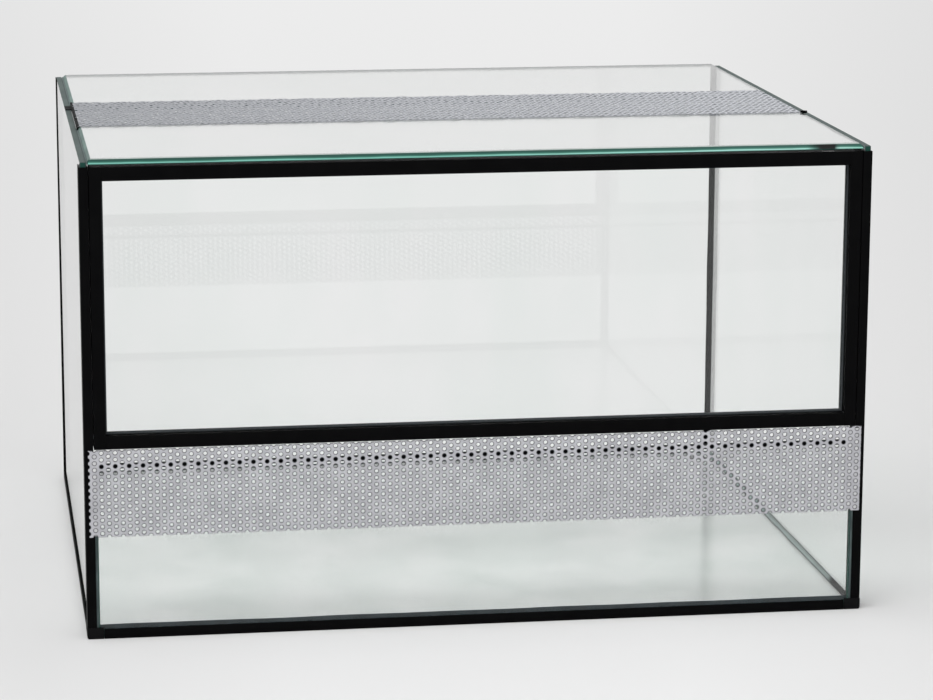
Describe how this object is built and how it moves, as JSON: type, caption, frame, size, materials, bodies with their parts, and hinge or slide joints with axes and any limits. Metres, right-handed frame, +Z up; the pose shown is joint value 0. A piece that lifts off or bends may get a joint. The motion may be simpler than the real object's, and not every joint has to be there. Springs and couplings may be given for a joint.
{
  "type": "reptile terrarium",
  "caption": "Glass reptile terrarium: silicone-bonded glass box with a framed drop-down front door and perforated metal vent strips in front and top.",
  "frame": {"origin": "centre of the base's outline, on the surface that the terrarium stands on", "axes": "+X to the right seen from the front, +Y from the front to the back, +Z up"},
  "size_m": [0.5024, 0.4196, 0.3083],
  "materials": {
    "pane_glass": "clear float glass, cut and arrised, green at its edges",
    "door_glass": "clear float glass, thinner than the fixed panes",
    "edge_profile": "black extruded PVC, satin",
    "door_profile": "black extruded profile, satin",
    "perforated_sheet": "perforated sheet, rolled mill finish, cut edges bare",
    "black_silicone": "cured silicone sealant, glossy",
    "grey_silicone": "cured translucent silicone sealant, satin",
    "seal_rubber": "black rubber, matt",
    "catch_magnet": "magnetic rubber strip, matt",
    "pin_steel": "bright steel"
  },
  "bodies": {
    "cabinet": {"bottom_pane": "pane_glass", "back_pane": "pane_glass", "left_pane": "pane_glass", "right_pane": "pane_glass", "top_front_pane": "pane_glass", "top_rear_pane": "pane_glass", "lower_front_pane": "pane_glass", "lower_pane_trim": "edge_profile", "front_vent_strip": "perforated_sheet", "top_vent_strip": "perforated_sheet", "left_post_profile": "edge_profile", "right_post_profile": "edge_profile", "bottom_profile": "edge_profile", "left_corner_cap": "edge_profile", "right_corner_cap": "edge_profile", "floor_bead_left": "black_silicone", "floor_bead_right": "grey_silicone", "floor_bead_back": "black_silicone", "floor_bead_front": "grey_silicone", "outer_bead_left": "black_silicone", "corner_bead_left": "black_silicone", "corner_bead_right": "black_silicone", "lower_pane_joints": "grey_silicone", "top_pane_joints": "grey_silicone", "vent_end_line": "black_silicone", "rear_foot_pads": "seal_rubber", "catch_magnet": "catch_magnet", "door_stops": "seal_rubber"},
    "door": {"door_bottom_bar": "door_profile", "door_top_bar": "door_profile", "door_left_bar": "door_profile", "door_right_bar": "door_profile", "door_pane": "door_glass", "door_pane_seal": "seal_rubber", "pivot_pins": "pin_steel", "striker_plate": "pin_steel"}
  },
  "joints": [
    {"name": "door_hinge", "type": "hinge", "parent": "cabinet", "child": "door", "pos_m": [0, -0.20555, 0.1305], "axis": [1, 0, 0], "range_deg": [0, 125]}
  ]
}
